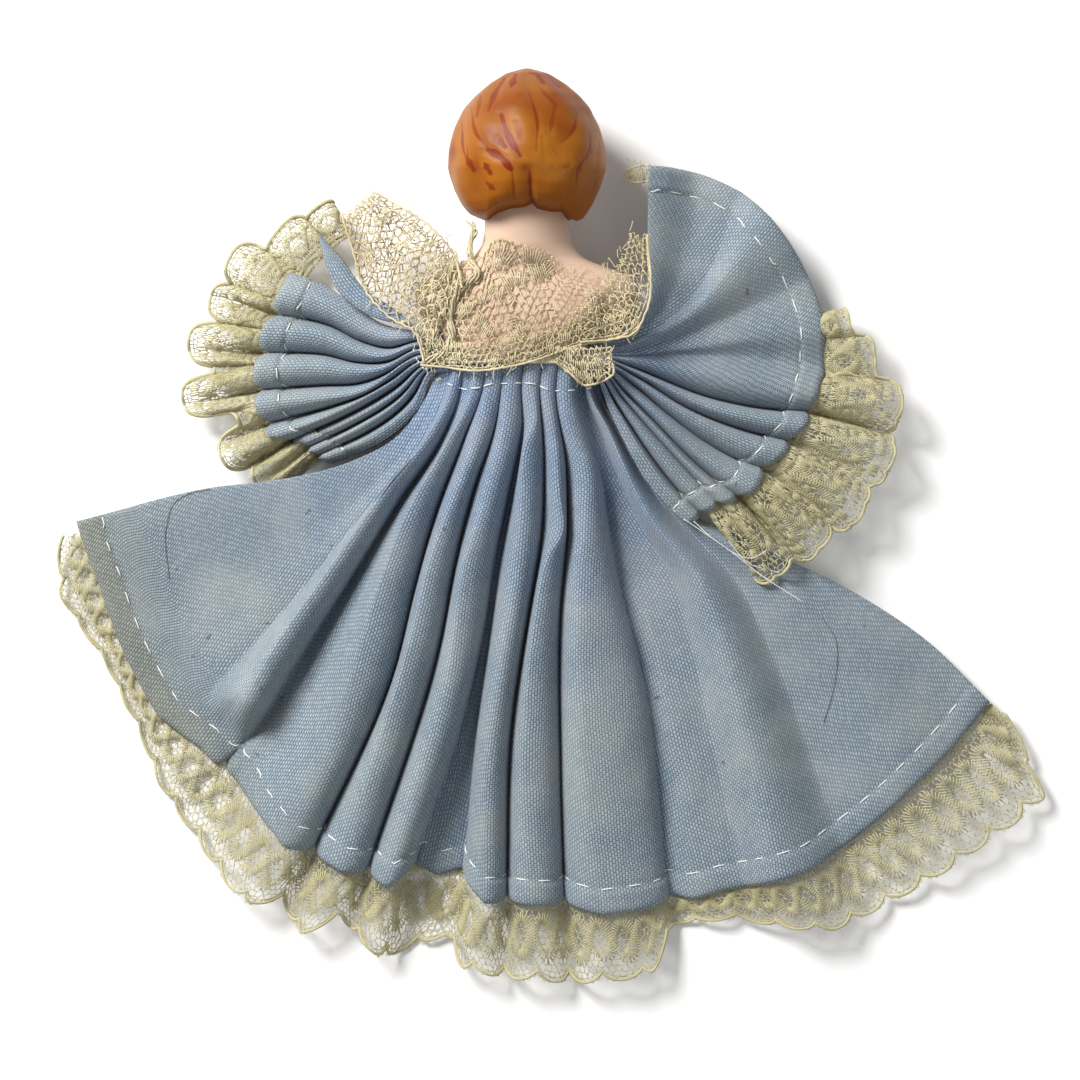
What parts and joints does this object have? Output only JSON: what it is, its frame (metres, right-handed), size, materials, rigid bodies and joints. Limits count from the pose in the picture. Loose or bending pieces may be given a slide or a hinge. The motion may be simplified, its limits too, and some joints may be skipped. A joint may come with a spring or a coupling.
{
  "type": "porcelain doll",
  "caption": "Small porcelain shoulder-head ornament doll with a moulded bob, dressed in a pleated cloth fan skirt and two fan sleeves with gathered lace hems.",
  "frame": {"origin": "middle of the spread doll's outline, on the plane that it lies on", "axes": "+Z out of the doll's back, +Y towards the crown of its head, +X towards its right-hand side as it lies on its face"},
  "size_m": [0.1543, 0.1418, 0.0244],
  "materials": {
    "bisque": "satin",
    "filling": "matte",
    "tie_thread": "matte",
    "lace": "matte",
    "yoke_lace": "matte",
    "blue_cloth": "satin",
    "white_thread": "satin"
  },
  "bodies": {
    "bust": {"shoulder_head": "bisque", "filler_plug": "filling", "waist_tie": "tie_thread", "back_yoke_lace": "yoke_lace", "yoke_lace_end": "yoke_lace"},
    "skirt": {"skirt_panel": "blue_cloth", "skirt_lace": "lace", "skirt_hem_thread": "white_thread", "skirt_gather_thread": "white_thread"},
    "left_sleeve": {"left_sleeve_panel": "blue_cloth", "left_sleeve_lace": "lace", "left_sleeve_hem_thread": "white_thread", "left_sleeve_gather_thread": "white_thread", "left_shoulder_lace": "yoke_lace"},
    "right_sleeve": {"right_sleeve_panel": "blue_cloth", "right_sleeve_lace": "lace", "right_sleeve_hem_thread": "white_thread", "right_sleeve_gather_thread": "white_thread", "right_shoulder_lace": "yoke_lace"}
  },
  "joints": [
    {"name": "skirt_swing", "type": "hinge", "parent": "bust", "child": "skirt", "pos_m": [-0.0045, 0.026, 0.009], "axis": [0, 0, 1], "range_deg": [-6, 6]},
    {"name": "left_sleeve_lift", "type": "hinge", "parent": "bust", "child": "left_sleeve", "pos_m": [-0.0195, 0.0265, 0.009], "axis": [0, 1, 0], "range_deg": [0, 50]},
    {"name": "right_sleeve_lift", "type": "hinge", "parent": "bust", "child": "right_sleeve", "pos_m": [0.0076, 0.0265, 0.0165], "axis": [0, -1, 0], "range_deg": [0, 50]}
  ]
}
